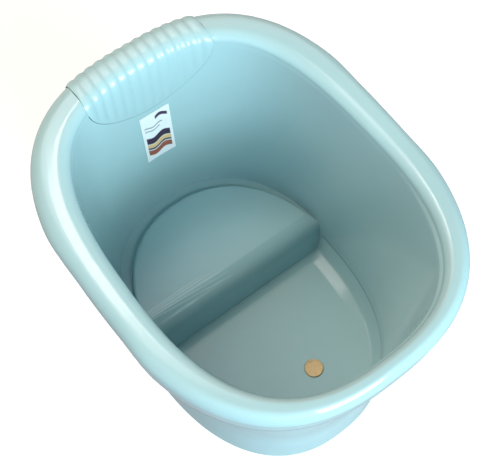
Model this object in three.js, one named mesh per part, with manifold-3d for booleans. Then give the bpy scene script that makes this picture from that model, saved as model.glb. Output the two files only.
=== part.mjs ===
// Deep oval pedicure foot bath: a moulded tub with a two-level floor, a ribbed leg rest, a plug and a label.
// Millimetres, +Z up, +Y towards the leg rest at the back. The origin is on the ground below the middle.
import * as THREE from "three";
import { mergeVertices } from "three/addons/utils/BufferGeometryUtils.js";
import Module from "manifold-3d";

const wasm = await Module();
wasm.setup();

// Plan outlines: half width and shift along X, then the length and the fullness of the back and of the front
const RIM = {
  half: 170.7, shift: 0, taper: 0.02, back: 206.5, backPower: 2.65, front: 206.5, frontPower: 2.57,
};
const WALL_FOOT = {
  half: 122, shift: 0, taper: 0.01, back: 157, backPower: 2.33, front: 168.5, frontPower: 2.42,
};
const BASE = {
  half: 127, shift: 0, taper: 0, back: 162, backPower: 2.5, front: 172.5, frontPower: 2.36,
};
const PLATFORM = {
  half: 118, shift: 2, taper: 0, back: 142, backPower: 2.17, front: 142, frontPower: 2.17,
};

// Tub heights and walls
const SKIN = 3;
const FOOT_RING = 4;
const RIM_HEIGHT = 285;
const BACK_RISE = 7.6;
const END_RISE = 8.4;
const LEDGE_HEIGHT = 62;
const PLATFORM_HEIGHT = 70;
const WELL_HEIGHT = 19;
const SEGMENTS = 80;

// Rolled rim, from its outer edge inwards: widest along the sides and narrowest at the front
const RIM_WIDTH = { middle: 26, backMore: 8, sideMore: 9 };
const OUTER_ROLL = { crest: 0.42, height: 14 };
const INNER_ROLL = { crest: 0.65, height: 9 };
const SKIRT_DEPTH = 36.5;
const SKIRT_INSET = 2.4;
const BEAD = { side: 0.8, front: 3, fadeFrom: -40, fadeTo: -160, top: 10.5, middle: 13, bottom: 16 };
const GRIP = { from: -80, to: 88, blend: 55, dip: 3.2 };

// Floor of the tub: a raised platform behind and a sunk well in front
const STEP = { bottomY: 12, topY: 19, nose: 22 };
const PLATFORM_EDGE = 4;
const WELL_CREASE = 0.6;
const WELL_EDGE = { width: 9, height: 24, power: 1.35 };
const CREASE_HEIGHT = WELL_HEIGHT + WELL_EDGE.height;
const WELL_RAMP = { least: 1, most: 14, slope: 0.15, from: -95, blend: 50 };

// Drain and plug
const DRAIN = { x: 17, y: -101, hole: 8.1, recess: 10.9, depth: 1.2, boss: 14, bossHeight: 5 };
const PLUG = {
  stemTop: 8, stemFoot: 7.2, stemLength: 10, head: 10.4, headHeight: 2.8, lip: 1.6, dish: 0.7, chamfer: 0.8,
};
const GAP = 0.3;

// Leg rest over the back of the rim
const REST = { centre: 4.15, half: 72.5, ribs: 13, skin: 1.4, rib: 1.1, wallRows: 5 };
const TONGUE = { low: 231, power: 1.9, shoulder: 283 };

// Label on the inside of the back wall
const LABEL = { centre: 5, width: 36, low: 148, high: 224, skin: 0.4 };

const AQUA = new THREE.MeshStandardMaterial({ color: 0x97c8d4, roughness: 0.15, metalness: 0 });
const AQUA_REST = new THREE.MeshStandardMaterial({ color: 0x9dcdd8, roughness: 0.2, metalness: 0 });
const TAN = new THREE.MeshStandardMaterial({ color: 0xcdaf80, roughness: 0.6, metalness: 0 });
const PAPER = new THREE.MeshStandardMaterial({ color: 0xe4ecf2, roughness: 0.45, metalness: 0 });

function smoothStep(value) {
  const t = Math.min(Math.max(value, 0), 1);
  return t * t * (3 - 2 * t);
}

// A point of a plan outline at an angle from +X, moved outwards by an offset along its normal
function outlinePoint(shape, angle) {
  const across = Math.cos(angle);
  const along = Math.sin(angle);
  const power = along >= 0 ? shape.backPower : shape.frontPower;
  const length = along >= 0 ? shape.back : shape.front;
  const y = length * Math.sign(along) * Math.abs(along) ** (2 / power);
  const x = shape.half * Math.sign(across) * Math.abs(across) ** (2 / power);
  return new THREE.Vector2(x * (1 + (shape.taper * y) / length) + shape.shift, y);
}

function outlineNormal(shape, angle) {
  const step = 0.004;
  const ahead = outlinePoint(shape, angle + step);
  const behind = outlinePoint(shape, angle - step);
  return new THREE.Vector2(ahead.y - behind.y, behind.x - ahead.x).normalize();
}

function offsetPoint(shape, angle, offset) {
  return outlinePoint(shape, angle).addScaledVector(outlineNormal(shape, angle), offset);
}

function lift(point, height) {
  return new THREE.Vector3(point.x, point.y, height);
}

// The rim's top rises towards the back and, less, towards both ends.
function rimTop(y) {
  const along = y / RIM.back;
  return RIM_HEIGHT + BACK_RISE * along + END_RISE * along * along;
}

function rimWidth(point) {
  const along = point.y / RIM.back;
  const across = point.x / RIM.half;
  return RIM_WIDTH.middle + RIM_WIDTH.backMore * along + RIM_WIDTH.sideMore * across * across;
}

// The outer edge dips in a little along both sides, where the tub is gripped.
function gripDip(y) {
  const start = smoothStep((y - GRIP.from) / GRIP.blend);
  const end = smoothStep((GRIP.to - y) / GRIP.blend);
  return GRIP.dip * start * end;
}

// The inner roll ends in a bead, which stands out most at the front.
function beadWidth(angle) {
  const fade = smoothStep((BEAD.fadeFrom - outlinePoint(RIM, angle).y) / (BEAD.fadeFrom - BEAD.fadeTo));
  return BEAD.side + (BEAD.front - BEAD.side) * fade;
}

// A point of the rim, by its distance in from the outer edge, as a share of the width plus a fixed part
function rimPoint(angle, share, inset, depth) {
  const edge = outlinePoint(RIM, angle);
  const dip = gripDip(edge.y) * Math.max(1 - share / OUTER_ROLL.crest, 0);
  return lift(offsetPoint(RIM, angle, -share * rimWidth(edge) - inset - dip), rimTop(edge.y) - depth);
}

function skirtFoot(angle, inset) {
  return rimPoint(angle, 0, SKIRT_INSET + inset, SKIRT_DEPTH);
}

function beadPoint(angle, share, depth) {
  return rimPoint(angle, 1, beadWidth(angle) * share, depth);
}

function innerWallTop(angle) {
  return beadPoint(angle, 1, BEAD.bottom);
}

function innerWallPoint(angle, share) {
  return innerWallTop(angle).lerp(lift(outlinePoint(WALL_FOOT, angle), LEDGE_HEIGHT), share);
}

function arcSteps(count) {
  return Array.from({ length: count + 1 }, (_, i) => (i / count) * (Math.PI / 2));
}

// Rows of the visible skin, from the skirt's foot over the rim to the top of the inner wall
function skinRows() {
  const outer = arcSteps(4).map((turn) => (angle) => rimPoint(
    angle, OUTER_ROLL.crest * (1 - Math.cos(turn)), 0, OUTER_ROLL.height * (1 - Math.sin(turn))));
  const inner = arcSteps(3).reverse().map((turn) => (angle) => rimPoint(
    angle, INNER_ROLL.crest + (1 - INNER_ROLL.crest) * Math.cos(turn), 0,
    INNER_ROLL.height * (1 - Math.sin(turn))));
  return [
    (angle) => skirtFoot(angle, 0),
    (angle) => rimPoint(angle, 0, SKIRT_INSET / 2, (OUTER_ROLL.height + SKIRT_DEPTH) / 2),
    ...outer,
    ...inner,
    (angle) => beadPoint(angle, 0.1, BEAD.top),
    (angle) => beadPoint(angle, 0.7, BEAD.middle),
    innerWallTop,
  ];
}

// Rows of the hidden skin, from the foot of the inner wall down, round the foot and up under the rim
function hiddenRows() {
  const crest = OUTER_ROLL.crest;
  const underInner = arcSteps(2).map((turn) => (angle) => rimPoint(
    angle, INNER_ROLL.crest + (1 - INNER_ROLL.crest) * Math.cos(turn),
    (beadWidth(angle) - SKIN) * Math.cos(turn), BEAD.bottom - (BEAD.bottom - SKIN) * Math.sin(turn)));
  const underOuter = arcSteps(2).reverse().map((turn) => (angle) => rimPoint(
    angle, crest * (1 - Math.cos(turn)), (SKIN + SKIRT_INSET / 4) * Math.cos(turn),
    OUTER_ROLL.height - (OUTER_ROLL.height - SKIN) * Math.sin(turn)));
  return [
    (angle) => lift(outlinePoint(WALL_FOOT, angle), LEDGE_HEIGHT),
    (angle) => lift(offsetPoint(WALL_FOOT, angle, -WELL_CREASE), CREASE_HEIGHT),
    (angle) => lift(offsetPoint(BASE, angle, -FOOT_RING), 0),
    (angle) => lift(outlinePoint(BASE, angle), 0),
    (angle) => lift(offsetPoint(WALL_FOOT, angle, SKIN), LEDGE_HEIGHT),
    ...underInner,
    ...underOuter,
    (angle) => skirtFoot(angle, SKIN),
  ];
}

function ringAngle(i) {
  return (2 * Math.PI * i) / SEGMENTS;
}

function meshGeometry(points, triangles) {
  const geometry = new THREE.BufferGeometry();
  const places = points.flatMap((p) => [p.x, p.y, p.z]);
  geometry.setAttribute("position", new THREE.Float32BufferAttribute(places, 3));
  geometry.setIndex(triangles);
  return geometry;
}

// A grid of points joined by triangles; rows or columns may close on themselves.
function gridTriangles(rowCount, columnCount, closeRows, closeColumns) {
  const triangles = [];
  for (let r = 0; r < (closeRows ? rowCount : rowCount - 1); r += 1) {
    for (let c = 0; c < (closeColumns ? columnCount : columnCount - 1); c += 1) {
      const a = r * columnCount + c;
      const b = r * columnCount + ((c + 1) % columnCount);
      const d = ((r + 1) % rowCount) * columnCount + c;
      const e = ((r + 1) % rowCount) * columnCount + ((c + 1) % columnCount);
      triangles.push(a, b, e, a, e, d);
    }
  }
  return triangles;
}

// A closed section swept round the whole tub
function sweptRing(rows) {
  const points = rows.flatMap((row) => Array.from({ length: SEGMENTS }, (_, i) => row(ringAngle(i))));
  return meshGeometry(points, gridTriangles(rows.length, SEGMENTS, true, true));
}

// A solid between rings stacked from the lowest to the highest, closed by a fan at each end
function loft(rings) {
  const points = rings.flatMap((ring) => Array.from({ length: SEGMENTS }, (_, i) => ring(ringAngle(i))));
  const triangles = gridTriangles(rings.length, SEGMENTS, false, true);
  const low = points.length;
  const high = low + 1;
  const top = (rings.length - 1) * SEGMENTS;
  points.push(new THREE.Vector3(0, 0, points[0].z), new THREE.Vector3(0, 0, points[top].z));
  for (let i = 0; i < SEGMENTS; i += 1) {
    const next = (i + 1) % SEGMENTS;
    triangles.push(low, next, i, high, top + i, top + next);
  }
  return meshGeometry(points, triangles);
}

function outlineRing(shape, offset, height) {
  return (angle) => lift(offsetPoint(shape, angle, offset), height);
}

function toSolid(geometry) {
  const bare = geometry.clone();
  bare.deleteAttribute("normal");
  bare.deleteAttribute("uv");
  const merged = mergeVertices(bare, 1e-4);
  return new wasm.Manifold(new wasm.Mesh({
    numProp: 3,
    vertProperties: new Float32Array(merged.attributes.position.array),
    triVerts: new Uint32Array(merged.index.array),
  }));
}

function toGeometry(solid) {
  const mesh = solid.getMesh();
  const geometry = new THREE.BufferGeometry();
  geometry.setAttribute("position", new THREE.BufferAttribute(new Float32Array(mesh.vertProperties), 3));
  geometry.setIndex(new THREE.BufferAttribute(new Uint32Array(mesh.triVerts), 1));
  return geometry;
}

function boxSolid(low, high) {
  const size = high.clone().sub(low);
  const middle = low.clone().add(high).multiplyScalar(0.5);
  return toSolid(new THREE.BoxGeometry(size.x, size.y, size.z).translate(middle.x, middle.y, middle.z));
}

function cylinderSolid(radius, x, y, low, high) {
  const geometry = new THREE.CylinderGeometry(radius, radius, high - low, 40).rotateX(Math.PI / 2);
  return toSolid(geometry.translate(x, y, (low + high) / 2));
}

// Side view of the platform, drawn in Y and Z: a sloping step face, a round nose and a flat top
function stepSolid(inset, foot) {
  const reach = RIM.half;
  const top = PLATFORM_HEIGHT - inset;
  const nose = STEP.nose - inset;
  const profile = new THREE.Shape();
  profile.moveTo(STEP.bottomY + inset, foot);
  profile.lineTo(STEP.topY + inset, top - nose);
  profile.absarc(STEP.topY + STEP.nose, top - nose, nose, Math.PI, Math.PI / 2, true);
  profile.lineTo(RIM.back, top);
  profile.lineTo(RIM.back, foot);
  const options = { depth: 2 * reach, bevelEnabled: false, curveSegments: 10 };
  const geometry = new THREE.ExtrudeGeometry(profile, options);
  const turn = new THREE.Matrix4().set(0, 0, 1, -reach, 1, 0, 0, 0, 0, 1, 0, 0, 0, 0, 0, 1);
  return toSolid(geometry.applyMatrix4(turn));
}

function platformSolid() {
  const edge = arcSteps(3).map((turn) => outlineRing(
    PLATFORM, -PLATFORM_EDGE * (1 - Math.cos(turn)), PLATFORM_HEIGHT - PLATFORM_EDGE * (1 - Math.sin(turn))));
  const raised = toSolid(loft([outlineRing(PLATFORM, 0, LEDGE_HEIGHT - 1), ...edge]));
  const ledge = toSolid(loft([
    outlineRing(WALL_FOOT, SKIN / 2, WELL_HEIGHT - SKIN),
    outlineRing(WALL_FOOT, SKIN / 2, LEDGE_HEIGHT),
  ]));
  return raised.add(ledge).intersect(stepSolid(0, WELL_HEIGHT - SKIN));
}

function platformHollow() {
  const under = toSolid(loft([
    outlineRing(WALL_FOOT, -1, -1),
    outlineRing(WALL_FOOT, -1, LEDGE_HEIGHT - SKIN),
  ]));
  const raised = toSolid(loft([
    outlineRing(PLATFORM, -SKIN, LEDGE_HEIGHT - SKIN - 1),
    outlineRing(PLATFORM, -SKIN, PLATFORM_HEIGHT - SKIN),
  ]));
  return under.add(raised).intersect(stepSolid(SKIN, -1));
}

// The well's floor rises in a slight ramp along the wall; the ramp dies out towards the front.
function rampWidth(angle) {
  const fade = smoothStep((outlinePoint(WALL_FOOT, angle).y - WELL_RAMP.from) / WELL_RAMP.blend);
  return WELL_RAMP.least + (WELL_RAMP.most - WELL_RAMP.least) * fade;
}

function rampFoot(angle) {
  const inset = WELL_CREASE + WELL_EDGE.width + rampWidth(angle);
  return lift(offsetPoint(WALL_FOOT, angle, -inset), WELL_HEIGHT);
}

// A ring of the well's curved edge, from the ramp at share 0 to the crease on the wall at share 1
function wellEdgeRing(share) {
  return (angle) => {
    const foot = WELL_HEIGHT + WELL_RAMP.slope * rampWidth(angle);
    const height = foot + (CREASE_HEIGHT - foot) * share ** WELL_EDGE.power;
    const inset = WELL_CREASE + WELL_EDGE.width * (1 - share);
    return lift(offsetPoint(WALL_FOOT, angle, -inset), height);
  };
}

function wellSolid() {
  const block = toSolid(loft([
    outlineRing(WALL_FOOT, SKIN / 2, WELL_HEIGHT - SKIN),
    outlineRing(WALL_FOOT, SKIN / 2, CREASE_HEIGHT),
  ]));
  const edge = [0, 0.2, 0.4, 0.7, 1].map(wellEdgeRing);
  const above = outlineRing(WALL_FOOT, -WELL_CREASE, CREASE_HEIGHT + SKIN);
  const hollow = toSolid(loft([rampFoot, ...edge, above]));
  const low = new THREE.Vector3(-RIM.front, -RIM.front, 0);
  const high = new THREE.Vector3(RIM.front, STEP.topY, CREASE_HEIGHT + 1);
  return block.subtract(hollow).intersect(boxSolid(low, high));
}

function addDrain(tub) {
  const under = WELL_HEIGHT - SKIN;
  const boss = cylinderSolid(DRAIN.boss, DRAIN.x, DRAIN.y, under - DRAIN.bossHeight, under + 1);
  const hole = cylinderSolid(DRAIN.hole, DRAIN.x, DRAIN.y, 0, WELL_HEIGHT + 1);
  const recess = cylinderSolid(DRAIN.recess, DRAIN.x, DRAIN.y, WELL_HEIGHT - DRAIN.depth, WELL_HEIGHT + 1);
  return tub.add(boss).subtract(hole).subtract(recess);
}

function tubGeometry() {
  const wall = toSolid(sweptRing([...skinRows(), ...hiddenRows()]));
  const floor = platformSolid().subtract(platformHollow()).add(wellSolid());
  return toGeometry(addDrain(wall.add(floor)));
}

// The angle at which a row of the tub's skin crosses a given X behind the middle
function angleAtX(row, x) {
  let low = Math.PI * 0.2;
  let high = Math.PI * 0.8;
  for (let i = 0; i < 30; i += 1) {
    const middle = (low + high) / 2;
    if (row(middle).x > x) low = middle;
    else high = middle;
  }
  return (low + high) / 2;
}

function skinPoint(row, x) {
  return row(angleAtX(row, x));
}

// The leg rest's lower edge hangs down the inner wall as a round-cornered tongue.
function restLow(x) {
  const across = Math.min(Math.abs(x - REST.centre) / REST.half, 1);
  const drop = (1 - across ** TONGUE.power) ** (1 / TONGUE.power);
  return TONGUE.shoulder - (TONGUE.shoulder - TONGUE.low) * drop;
}

function wallRowAt(height) {
  return (angle) => {
    const top = innerWallTop(angle);
    return innerWallPoint(angle, (top.z - height) / (top.z - LEDGE_HEIGHT));
  };
}

// Rows from the skirt's foot over the rim, then down the wall to a lower edge that depends on X
function restRow(index, x) {
  const rows = skinRows();
  if (index < rows.length - 1) return rows[index];
  const top = innerWallTop(angleAtX(innerWallTop, x)).z;
  const share = (index - rows.length + 1) / REST.wallRows;
  return wallRowAt(top + (restLow(x) - top) * share);
}

function restGeometry() {
  const rowCount = skinRows().length + REST.wallRows;
  const columnCount = REST.ribs * 2 + 1;
  const layers = [[], []];
  for (let r = 0; r < rowCount; r += 1) {
    for (let c = 0; c < columnCount; c += 1) {
      const x = REST.centre + REST.half * (1 - (2 * c) / (columnCount - 1));
      const point = skinPoint(restRow(r, x), x);
      const before = skinPoint(restRow(Math.max(r - 1, 0), x), x);
      const after = skinPoint(restRow(Math.min(r + 1, rowCount - 1), x), x);
      const beside = skinPoint(restRow(r, x), x + 1);
      const normal = after.sub(before).cross(beside.sub(point)).normalize();
      const rib = c % 2 === 1 ? REST.rib : 0;
      layers[0].push(point.clone().addScaledVector(normal, GAP));
      layers[1].push(point.clone().addScaledVector(normal, GAP + REST.skin + rib));
    }
  }
  return shellGeometry(layers[1], layers[0], rowCount, columnCount);
}

// A thin closed shell between two grids of the same size
function shellGeometry(outer, inner, rowCount, columnCount) {
  const count = outer.length;
  const triangles = [];
  gridTriangles(rowCount, columnCount, false, false).forEach((v) => triangles.push(v));
  const back = gridTriangles(rowCount, columnCount, false, false);
  for (let i = 0; i < back.length; i += 3) {
    triangles.push(back[i] + count, back[i + 2] + count, back[i + 1] + count);
  }
  const border = [];
  for (let c = 0; c < columnCount - 1; c += 1) border.push(c);
  for (let r = 0; r < rowCount - 1; r += 1) border.push(r * columnCount + columnCount - 1);
  for (let c = columnCount - 1; c > 0; c -= 1) border.push((rowCount - 1) * columnCount + c);
  for (let r = rowCount - 1; r > 0; r -= 1) border.push(r * columnCount);
  border.forEach((a, i) => {
    const b = border[(i + 1) % border.length];
    triangles.push(b, a, a + count, b, a + count, b + count);
  });
  return meshGeometry([...outer, ...inner], triangles);
}

function labelGeometry() {
  const rowCount = 9;
  const columnCount = 7;
  const layers = [[], []];
  for (let r = 0; r < rowCount; r += 1) {
    const height = LABEL.low + ((LABEL.high - LABEL.low) * r) / (rowCount - 1);
    for (let c = 0; c < columnCount; c += 1) {
      const x = LABEL.centre + LABEL.width * (c / (columnCount - 1) - 0.5);
      const point = skinPoint(wallRowAt(height), x);
      layers[0].push(point.clone().add(new THREE.Vector3(0, -GAP, 0)));
      layers[1].push(point.clone().add(new THREE.Vector3(0, -GAP - LABEL.skin, 0)));
    }
  }
  return shellGeometry(layers[1], layers[0], rowCount, columnCount);
}

function plugGeometry() {
  const seat = WELL_HEIGHT - DRAIN.depth + GAP;
  const top = seat + PLUG.headHeight;
  const profile = [
    new THREE.Vector2(0, seat - PLUG.stemLength),
    new THREE.Vector2(PLUG.stemFoot - PLUG.chamfer, seat - PLUG.stemLength),
    new THREE.Vector2(PLUG.stemFoot, seat - PLUG.stemLength + PLUG.chamfer),
    new THREE.Vector2(PLUG.stemTop, seat - 1),
    new THREE.Vector2(PLUG.stemTop, seat),
    new THREE.Vector2(PLUG.head, seat),
    new THREE.Vector2(PLUG.head, top - PLUG.chamfer),
    new THREE.Vector2(PLUG.head - PLUG.chamfer, top),
    new THREE.Vector2(PLUG.head - PLUG.lip, top),
    new THREE.Vector2(PLUG.head - PLUG.lip - PLUG.dish, top - PLUG.dish),
    new THREE.Vector2(0, top - PLUG.dish),
  ];
  return new THREE.LatheGeometry(profile, 40).rotateX(Math.PI / 2).translate(DRAIN.x, DRAIN.y, 0);
}

function piece(name, geometry, material) {
  const mesh = new THREE.Mesh(geometry, material);
  mesh.name = name;
  return mesh;
}

const footBath = new THREE.Group();
footBath.add(piece("tub_shell", tubGeometry(), AQUA));
footBath.add(piece("leg_rest_pad", restGeometry(), AQUA_REST));
footBath.add(piece("drain_plug", plugGeometry(), TAN));
footBath.add(piece("label", labelGeometry(), PAPER));

export default footBath;
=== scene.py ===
"""Deep oval pedicure foot bath: a glossy aqua tub, its ribbed leg rest, a drain plug and a printed label.

Lengths are in millimetres until a mesh is made, and +Y is the back of the tub, where the leg rest is.
"""

import math

import bmesh
import bpy
import numpy as np
from mathutils import Matrix, Vector


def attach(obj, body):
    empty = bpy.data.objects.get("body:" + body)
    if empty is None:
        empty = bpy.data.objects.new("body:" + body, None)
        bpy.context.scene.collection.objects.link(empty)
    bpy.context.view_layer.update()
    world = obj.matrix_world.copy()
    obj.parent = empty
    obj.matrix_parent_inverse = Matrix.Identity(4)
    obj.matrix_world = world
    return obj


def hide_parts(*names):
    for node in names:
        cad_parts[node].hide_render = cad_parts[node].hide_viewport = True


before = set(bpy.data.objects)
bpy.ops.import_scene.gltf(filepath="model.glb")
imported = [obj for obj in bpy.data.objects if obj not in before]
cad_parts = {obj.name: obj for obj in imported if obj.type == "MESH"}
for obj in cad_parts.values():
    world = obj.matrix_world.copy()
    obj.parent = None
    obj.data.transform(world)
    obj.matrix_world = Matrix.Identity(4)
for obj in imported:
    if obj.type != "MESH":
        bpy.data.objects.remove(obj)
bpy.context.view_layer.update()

MM = 0.001

# Plan outlines: half width and shift along X, lengths to the back and the front, how full each end is,
# and how much wider the outline gets towards the back
OUTLINE_KEYS = ("half", "shift", "back", "front", "back_power", "front_power", "taper")
RIM = dict(zip(OUTLINE_KEYS, (170.7, 0, 206.5, 206.5, 2.65, 2.57, 0.02)))
WALL_FOOT = dict(zip(OUTLINE_KEYS, (122, 0, 157, 168.5, 2.33, 2.42, 0.01)))
BASE = dict(zip(OUTLINE_KEYS, (127, 0, 162, 172.5, 2.5, 2.36, 0)))
PLATFORM = dict(zip(OUTLINE_KEYS, (118, 2, 142, 142, 2.17, 2.17, 0)))

# Tub heights and walls
SKIN = 3
FOOT_RING = 4
RIM_HEIGHT = 285
BACK_RISE = 7.6
END_RISE = 8.4
LEDGE_HEIGHT = 62
PLATFORM_HEIGHT = 70
WELL_HEIGHT = 19

# Rolled rim
RIM_WIDTH = {"middle": 26, "back_more": 8, "side_more": 9}
OUTER_ROLL = {"crest": 0.42, "height": 14}
INNER_ROLL = {"crest": 0.65, "height": 9}
SKIRT_DEPTH = 36.5
SKIRT_INSET = 2.4
SKIRT_CORNER = 0.5
BEAD = {"side": 0.8, "front": 3, "fade_from": -40, "fade_to": -160, "bottom": 16}
GRIP = {"from": -80, "to": 88, "blend": 55, "dip": 3.2}

# Floor of the tub
STEP = {"bottom_y": 12, "top_y": 19, "nose": 22, "corner": 5}
PLATFORM_EDGE = 4
PLATFORM_FOOT = {"share": 0.45, "width": 0.9}
WELL_CREASE = 0.6
WELL_EDGE = {"width": 9, "height": 24, "power": 1.35}
CREASE_HEIGHT = WELL_HEIGHT + WELL_EDGE["height"]
WELL_RAMP = {"width": 14, "slope": 0.15, "from": -95, "blend": 50}

# Drain and plug
DRAIN_CENTRE = (17, -101)
DRAIN = {"hole": 8.1, "recess": 10.9, "depth": 1.2, "boss": 14, "boss_height": 5}
PLUG = {"stem_top": 8, "stem_foot": 7.2, "stem": 10, "neck": 1, "head": 10.4, "head_height": 2.8}
PLUG_TOP = {"lip": 1.6, "dish": 0.7, "flat_edge": 1.5, "middle": 2}

# Gap between neighbouring pieces, and the small roundings and chamfers of edges
GAP = 0.3
EDGE_ROUND = 0.8
CHAMFER = 0.3
RECESS_CHAMFER = 0.35

# Leg rest and label
REST = {"centre": 4.15, "half": 72.5, "ribs": 13, "edge": 0.5, "skin": 0.9, "rib": 1.0, "wall_rib": 0.7}
REST_EDGE = {"round": 1.6, "low_share": 0.55}
RIB = {"columns": 14, "power": 2.5, "tilt": 0.15, "tilt_blend": 0.5, "fade_low": 14, "fade_skirt": 4}
TONGUE = {"low": 231, "power": 1.85, "shoulder": 292}
LABEL = {"centre": 5, "width": 36, "low": 148, "high": 224, "skin": 0.4}

# Meshes: points closer than this are merged, shorter edges dissolved, and sharper angles stay sharp
MERGE_DISTANCE = 0.002
SHORTEST_EDGE = 0.001
SHARP_ANGLE = 35
REST_SHARP_ANGLE = 50
SMALL_SHARP_ANGLE = 40

# Angles round the tub where the wall meets the step's face and its nose, in degrees: first, end, spacing
FACE_ANGLES = (3.0, 5.6, 0.13)
NOSE_ANGLES = (5.75, 12.4, 0.4)

# The floor's mesh is crowded round the platform's edge, and in front of the step along the wall; the
# limits of the crowded stretch are shares of a row's half width
CROWDED = {"from": 14, "blend": 20, "inside": 5, "outside": 1.2, "wall_far": 25, "wall_near": 7}
CROWDED_LIMITS = {"least": 0.3, "most": 0.9, "apart": 0.05, "last": 0.98}

# The floor's height at its border is read at this share of the way out to the wall
JUST_INSIDE = 0.9999

# Rows of the inner wall's and the leg rest's grids, and how often the leg rest's rows are evened out
WALL_ROWS = 61
REST_ROWS = 121
REST_PASSES = 30

# Colours
AQUA = (0.32, 0.52, 0.575)
TAN = (0.62, 0.45, 0.24)
# Painted shade, darkening the well's crease and the leg rest's seam
PAINTED_SHADE = (0.05, 0.09, 0.085)
FILM = (0.72, 0.82, 0.87)
PURPLE = (0.03, 0.015, 0.05)
GOLD = (0.62, 0.46, 0.2)
RUST = (0.27, 0.08, 0.05)
GREY = (0.25, 0.3, 0.36)

# A noise texture's usual lowest and highest value, and those that the scuffs are taken from
NOISE_RANGE = (0.3, 0.7)
SCUFF_RANGE = (0.35, 0.75)

# How much rougher the level floor is than the rest of the tub, and how upright its normal is where this
# starts and where it is in full
FLOOR_DULLING = 0.28
LEVEL_RANGE = (0.984, 0.998)

# How much rougher the scuffs are than the plastic between them
SCUFF_DULLING = 0.08

# Fine pale lines along the platform's nose, partly flow marks and partly painted highlights, each by its Y
# at the middle of the tub, its slope and the X of its end; then how far a line's blur reaches, the length
# of its fading end, and the X of all starts
NOSE_LINES = ((48, 0, -18), (44, -0.02, -5), (39, -0.045, 8), (34, -0.065, 2), (28.9, -0.086, 14))
NOSE_LINE_REACH = 0.7
NOSE_LINE_FADE = 35
NOSE_LINES_FROM = -112
PALE = (0.66, 0.8, 0.82)

# Half height of the painted shade line in the crease between the well and its wall
CREASE_SHADE_HALF = 1.2

# How strongly the pale nose lines, partly painted highlights, and the crease's painted shade show
MARK_STRENGTH = 0.6

# The label's waves: ink, then centre, height, swing, turns, half thickness and half length, and the blur
# of their edges, as shares of the label's width or height
PRINT_BLUR = 0.012
PRINT = (
    (PURPLE, 0.2, 0.87, 0.035, 1.6, 0.028, 0.2),
    (GREY, -0.1, 0.72, 0.02, 2, 0.008, 0.3),
    (GREY, -0.15, 0.65, 0.02, 2, 0.006, 0.25),
    (PURPLE, 0, 0.44, 0.03, 1.5, 0.06, 0.4),
    (GOLD, 0, 0.325, 0.03, 1.5, 0.03, 0.4),
    (PURPLE, 0, 0.265, 0.03, 1.5, 0.014, 0.4),
    (RUST, 0, 0.17, 0.03, 1.5, 0.05, 0.4),
)

# Soft lamps round the tub: azimuth and elevation in degrees, size in millimetres, power in watts, colour
LAMP_DISTANCE = 2600
LAMP_TARGET = (0, 0, 150)
LAMPS = {
    "front_low": (0, 14, 1300, 74, (0.8, 0.97, 1.0)),
    "front_left": (-28, 14, 1300, 8, (1.0, 0.35, 0.5)),
    "front_high": (0, 32, 1300, 49, (0.92, 1.0, 0.98)),
    "side_left": (-60, 35, 1500, 10, (0.35, 0.8, 1.0)),
    "back_right": (140, 36, 1600, 9, (1.0, 0.5, 0.45)),
    "back_left": (220, 50, 2200, 46, (1.0, 0.66, 0.43)),
    "back_high": (180, 60, 1500, 19, (1.0, 0.8, 0.76)),
    "ceiling": (220, 70, 2200, 12, (0.85, 1.0, 0.78)),
    "window": (167, 68, 400, 4, (1.0, 0.97, 0.92)),
}

# Lamps so broad that their mirror images would wash out the gloss: the tub does not mirror them
UNMIRRORED = ("back_left", "ceiling")

# Sky: its dim level, the paler horizon, and how high a direction points where the one fades to the other
AMBIENT = 0.12
HORIZON = (0.47, 0.5, 0.52)
HORIZON_BAND = (0.06, 0.16)

# Light table: half its side, two mottled colours, and the glow that keeps its far corners white
TABLE_HALF = 60000
TABLE_COLOURS = ((0.58, 0.6, 0.62), (0.6, 0.62, 0.64))
TABLE_GLOW = {"colour": (0.9, 0.97, 1), "strength": 0.45}

# Camera: its place, the direction in degrees that it lies in, as the lamps' are given, and its lens
CAMERA = {
    "place": (-259.2, -328.2, 1038.9),
    "azimuth": -37.23,
    "elevation": 63.0,
    "lens": 71.1,
    "sensor": 36,
}


# ---------------------------------------------------------------- shapes in numpy


def smooth_step(value):
    """0 below 0, 1 above 1, and a smooth blend between them."""
    t = np.clip(value, 0, 1)
    return t * t * (3 - 2 * t)


def outline(shape, angle):
    """Points of a plan outline at angles from +X."""
    across, along = np.cos(angle), np.sin(angle)
    power = np.where(along >= 0, shape["back_power"], shape["front_power"])
    length = np.where(along >= 0, shape["back"], shape["front"])
    y = length * np.sign(along) * np.abs(along) ** (2 / power)
    x = shape["half"] * np.sign(across) * np.abs(across) ** (2 / power)
    return np.stack([x * (1 + shape["taper"] * y / length) + shape["shift"], y], axis=-1)


def offset_outline(shape, angle, offset):
    """The outline moved outwards along its normal."""
    step = 0.004
    tangent = outline(shape, angle + step) - outline(shape, angle - step)
    normal = np.stack([tangent[..., 1], -tangent[..., 0]], axis=-1)
    normal /= np.linalg.norm(normal, axis=-1, keepdims=True)
    return outline(shape, angle) + normal * np.broadcast_to(offset, np.shape(angle))[..., None]


def lift(plan, height):
    """Points over a plan at the given heights."""
    height = np.broadcast_to(height, plan.shape[:-1])
    return np.concatenate([plan, height[..., None]], axis=-1)


def rim_top(y):
    """Height of the rim's crest, which rises towards both ends and most at the back."""
    along = y / RIM["back"]
    return RIM_HEIGHT + BACK_RISE * along + END_RISE * along * along


def rim_width(plan):
    """Width of the rolled rim, by the point of the outer edge."""
    along = plan[..., 1] / RIM["back"]
    across = plan[..., 0] / RIM["half"]
    return RIM_WIDTH["middle"] + RIM_WIDTH["back_more"] * along + RIM_WIDTH["side_more"] * across**2


def grip_dip(y):
    """The outer edge dips in a little along both sides, where the tub is gripped."""
    start = smooth_step((y - GRIP["from"]) / GRIP["blend"])
    return GRIP["dip"] * start * smooth_step((GRIP["to"] - y) / GRIP["blend"])


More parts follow.
